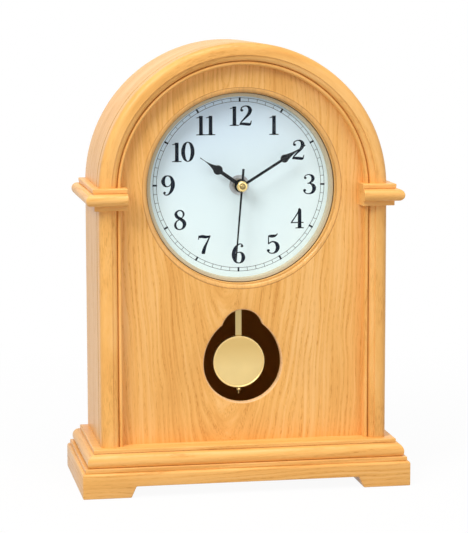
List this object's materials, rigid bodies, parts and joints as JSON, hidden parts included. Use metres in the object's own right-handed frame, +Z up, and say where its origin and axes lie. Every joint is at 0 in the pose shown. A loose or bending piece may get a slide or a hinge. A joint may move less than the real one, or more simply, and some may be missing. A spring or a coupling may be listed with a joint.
{
  "type": "desk pendulum clock",
  "caption": "Arched oak desk clock on a moulded base, with a round numbered dial, three hands and a pendulum behind a keyhole window.",
  "frame": {"origin": "on the resting surface, under the middle of the plinth", "axes": "+Z up, -Y is the dial side, +X to the right of someone who reads the dial"},
  "size_m": [0.238, 0.11, 0.32],
  "materials": {
    "oak_panel": "honey oak veneer, satin lacquer",
    "oak_frame": "honey oak, satin lacquer",
    "oak_base": "honey oak, satin lacquer",
    "oak_shell": "honey oak veneer, satin lacquer",
    "ring_wood": "turned wood, satin lacquer",
    "inner_wood": "plain softwood, unfinished",
    "door_board": "dark brown painted hardboard, smooth",
    "spacer": "matt cream",
    "dial_white": "white with a faint blue cast, satin",
    "dial_glass": "clear, polished",
    "brass": "satin lacquered brass",
    "steel": "zinc plated",
    "hand_black": "satin black",
    "housing_black": "fine matt, moulded",
    "knob_grey": "fine matt, moulded",
    "hanger_white": "natural acetal",
    "cell_wrap": "plain printed sleeve, semi-gloss",
    "rubber": "matt",
    "magnet": "moulded, with a magnet inside"
  },
  "bodies": {
    "case": {"plinth": "oak_base", "base_board": "oak_base", "base_screws": "steel", "case_shell": "oak_shell", "case_floor": "inner_wood", "front_arch": "oak_frame", "stile_left": "oak_frame", "stile_right": "oak_frame", "impost_left": "oak_frame", "impost_right": "oak_frame", "front_panel": "oak_panel", "dial_ring": "ring_wood", "dial_glass": "dial_glass", "glass_spacer": "spacer", "dial_plate": "dial_white", "bush": "brass", "rubber_washer": "rubber", "bush_washer": "steel", "bush_nut": "steel", "front_housing": "housing_black", "rear_cover": "housing_black", "battery_contact_plus": "steel", "battery_contact_minus": "steel", "pivot_pin": "steel", "catch_magnet": "magnet", "hinge_leaves_case": "brass"},
    "hour_hand": {"hour_hand": "hand_black", "hour_tube": "brass"},
    "minute_hand": {"minute_hand": "hand_black", "minute_tube": "brass"},
    "second_hand": {"second_hand": "hand_black", "second_arbor": "steel", "second_cap": "brass"},
    "setting_knob": {"setting_knob": "knob_grey"},
    "battery": {"battery": "cell_wrap"},
    "pendulum": {"hanger": "hanger_white", "pendulum_rod": "brass"},
    "bob": {"bob_front": "brass", "bob_back": "brass"},
    "rating_nut": {"rating_nut": "brass"},
    "back_door": {"back_door": "door_board", "door_pull": "brass", "strike_plate": "steel", "hinge_leaves_door": "brass"}
  },
  "joints": [
    {"name": "minute_hand_spin", "type": "hinge", "parent": "case", "child": "minute_hand", "pos_m": [0, -0.027, 0.2175], "axis": [0, 1, 0], "continuous": true},
    {"name": "hour_hand_spin", "type": "hinge", "parent": "case", "child": "hour_hand", "pos_m": [0, -0.025, 0.2175], "axis": [0, 1, 0], "continuous": true},
    {"name": "second_hand_spin", "type": "hinge", "parent": "case", "child": "second_hand", "pos_m": [0, -0.029, 0.2175], "axis": [0, 1, 0], "continuous": true},
    {"name": "setting_knob_spin", "type": "hinge", "parent": "case", "child": "setting_knob", "pos_m": [0.014, 0.002, 0.2035], "axis": [0, 1, 0], "continuous": true},
    {"name": "pendulum_swing", "type": "hinge", "parent": "case", "child": "pendulum", "pos_m": [0, -0.01, 0.1815], "axis": [0, 1, 0], "range_deg": [-8, 8]},
    {"name": "bob_slide", "type": "slide", "parent": "pendulum", "child": "bob", "axis": [0, 0, 1], "range_m": [-0.002, 0.002]},
    {"name": "rating_nut_spin", "type": "hinge", "parent": "bob", "child": "rating_nut", "pos_m": [0, -0.013, 0.0678], "axis": [0, 0, 1], "range_deg": [-1440, 1440]},
    {"name": "battery_lift_out", "type": "slide", "parent": "case", "child": "battery", "axis": [0, 1, 0], "range_m": [0, 0.018]},
    {"name": "back_door_hinge", "type": "hinge", "parent": "case", "child": "back_door", "pos_m": [0.09775, 0.04925, 0.129], "axis": [0, 0, -1], "range_deg": [0, 180]}
  ],
  "couplings": [
    {"joint": "hour_hand_spin", "follows": "minute_hand_spin", "ratio": 0.083333},
    {"joint": "setting_knob_spin", "follows": "minute_hand_spin", "ratio": -0.33333},
    {"joint": "rating_nut_spin", "follows": "bob_slide", "rad_per_m": 12566}
  ]
}
